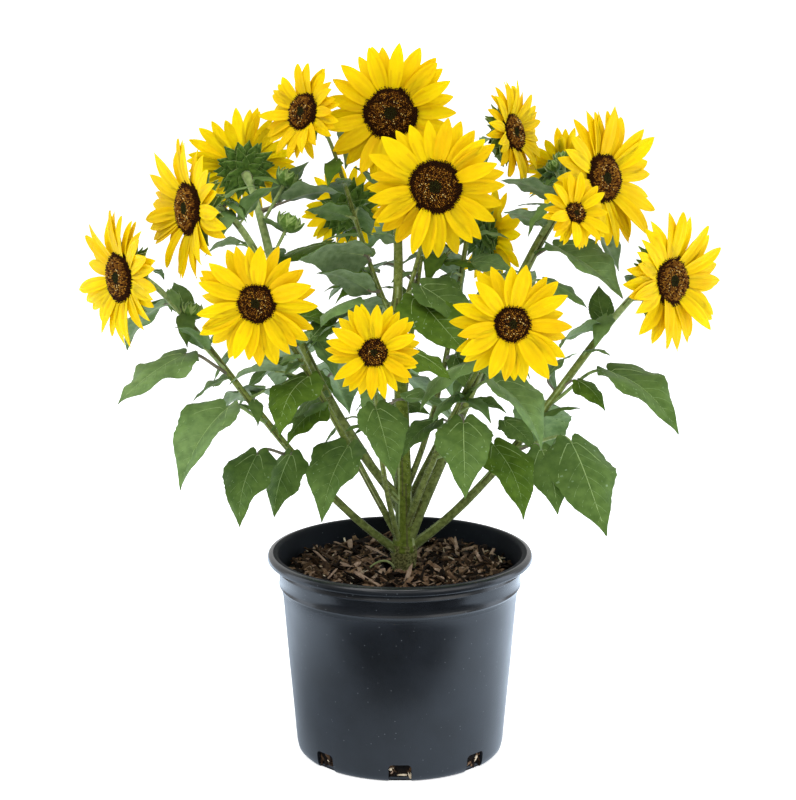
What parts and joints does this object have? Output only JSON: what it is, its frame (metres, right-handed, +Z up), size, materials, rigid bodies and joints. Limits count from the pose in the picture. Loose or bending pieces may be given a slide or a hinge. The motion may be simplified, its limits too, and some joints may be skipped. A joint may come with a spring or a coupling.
{
  "type": "potted sunflower plant",
  "caption": "Branching dwarf sunflower in bloom, with leafy stems rising from potting bark in a round black plastic nursery pot.",
  "frame": {"origin": "centre of the pot's flat underside, on the surface that the pot stands on", "axes": "+Z up along the pot's axis, the plant's front faces -Y, +X is to the right seen from the front"},
  "size_m": [0.6144, 0.4075, 0.6826],
  "materials": {
    "pot": "semi-matte moulded black plastic",
    "bark": "moist chipped bark",
    "stem": "rough hairy green stem",
    "foliage": "matte green leaves, golden yellow rays and dark brown discs"
  },
  "bodies": {
    "root": {"pot": "pot", "soil": "bark", "main_stem": "stem", "far_left_bough": "stem", "far_right_bough": "stem", "front_bough": "stem", "left_high_bough": "stem", "left_low_bough": "stem", "rear_high_bough": "stem", "rear_left_bough": "stem", "rear_low_bough": "stem", "rear_right_bough": "stem", "right_high_bough": "stem", "right_low_bough": "stem", "right_mid_bough": "stem", "back_left_mass": "foliage", "back_right_mass": "foliage", "centre_mass": "foliage", "far_left_mass": "foliage", "far_right_mass": "foliage", "front_mass": "foliage", "left_high_mass": "foliage", "left_low_mass": "foliage", "rear_high_mass": "foliage", "rear_left_mass": "foliage", "rear_low_mass": "foliage", "rear_right_mass": "foliage", "right_high_mass": "foliage", "right_low_mass": "foliage", "right_mid_mass": "foliage", "top_left_mass": "foliage", "top_mass": "foliage"}
  },
  "joints": []
}
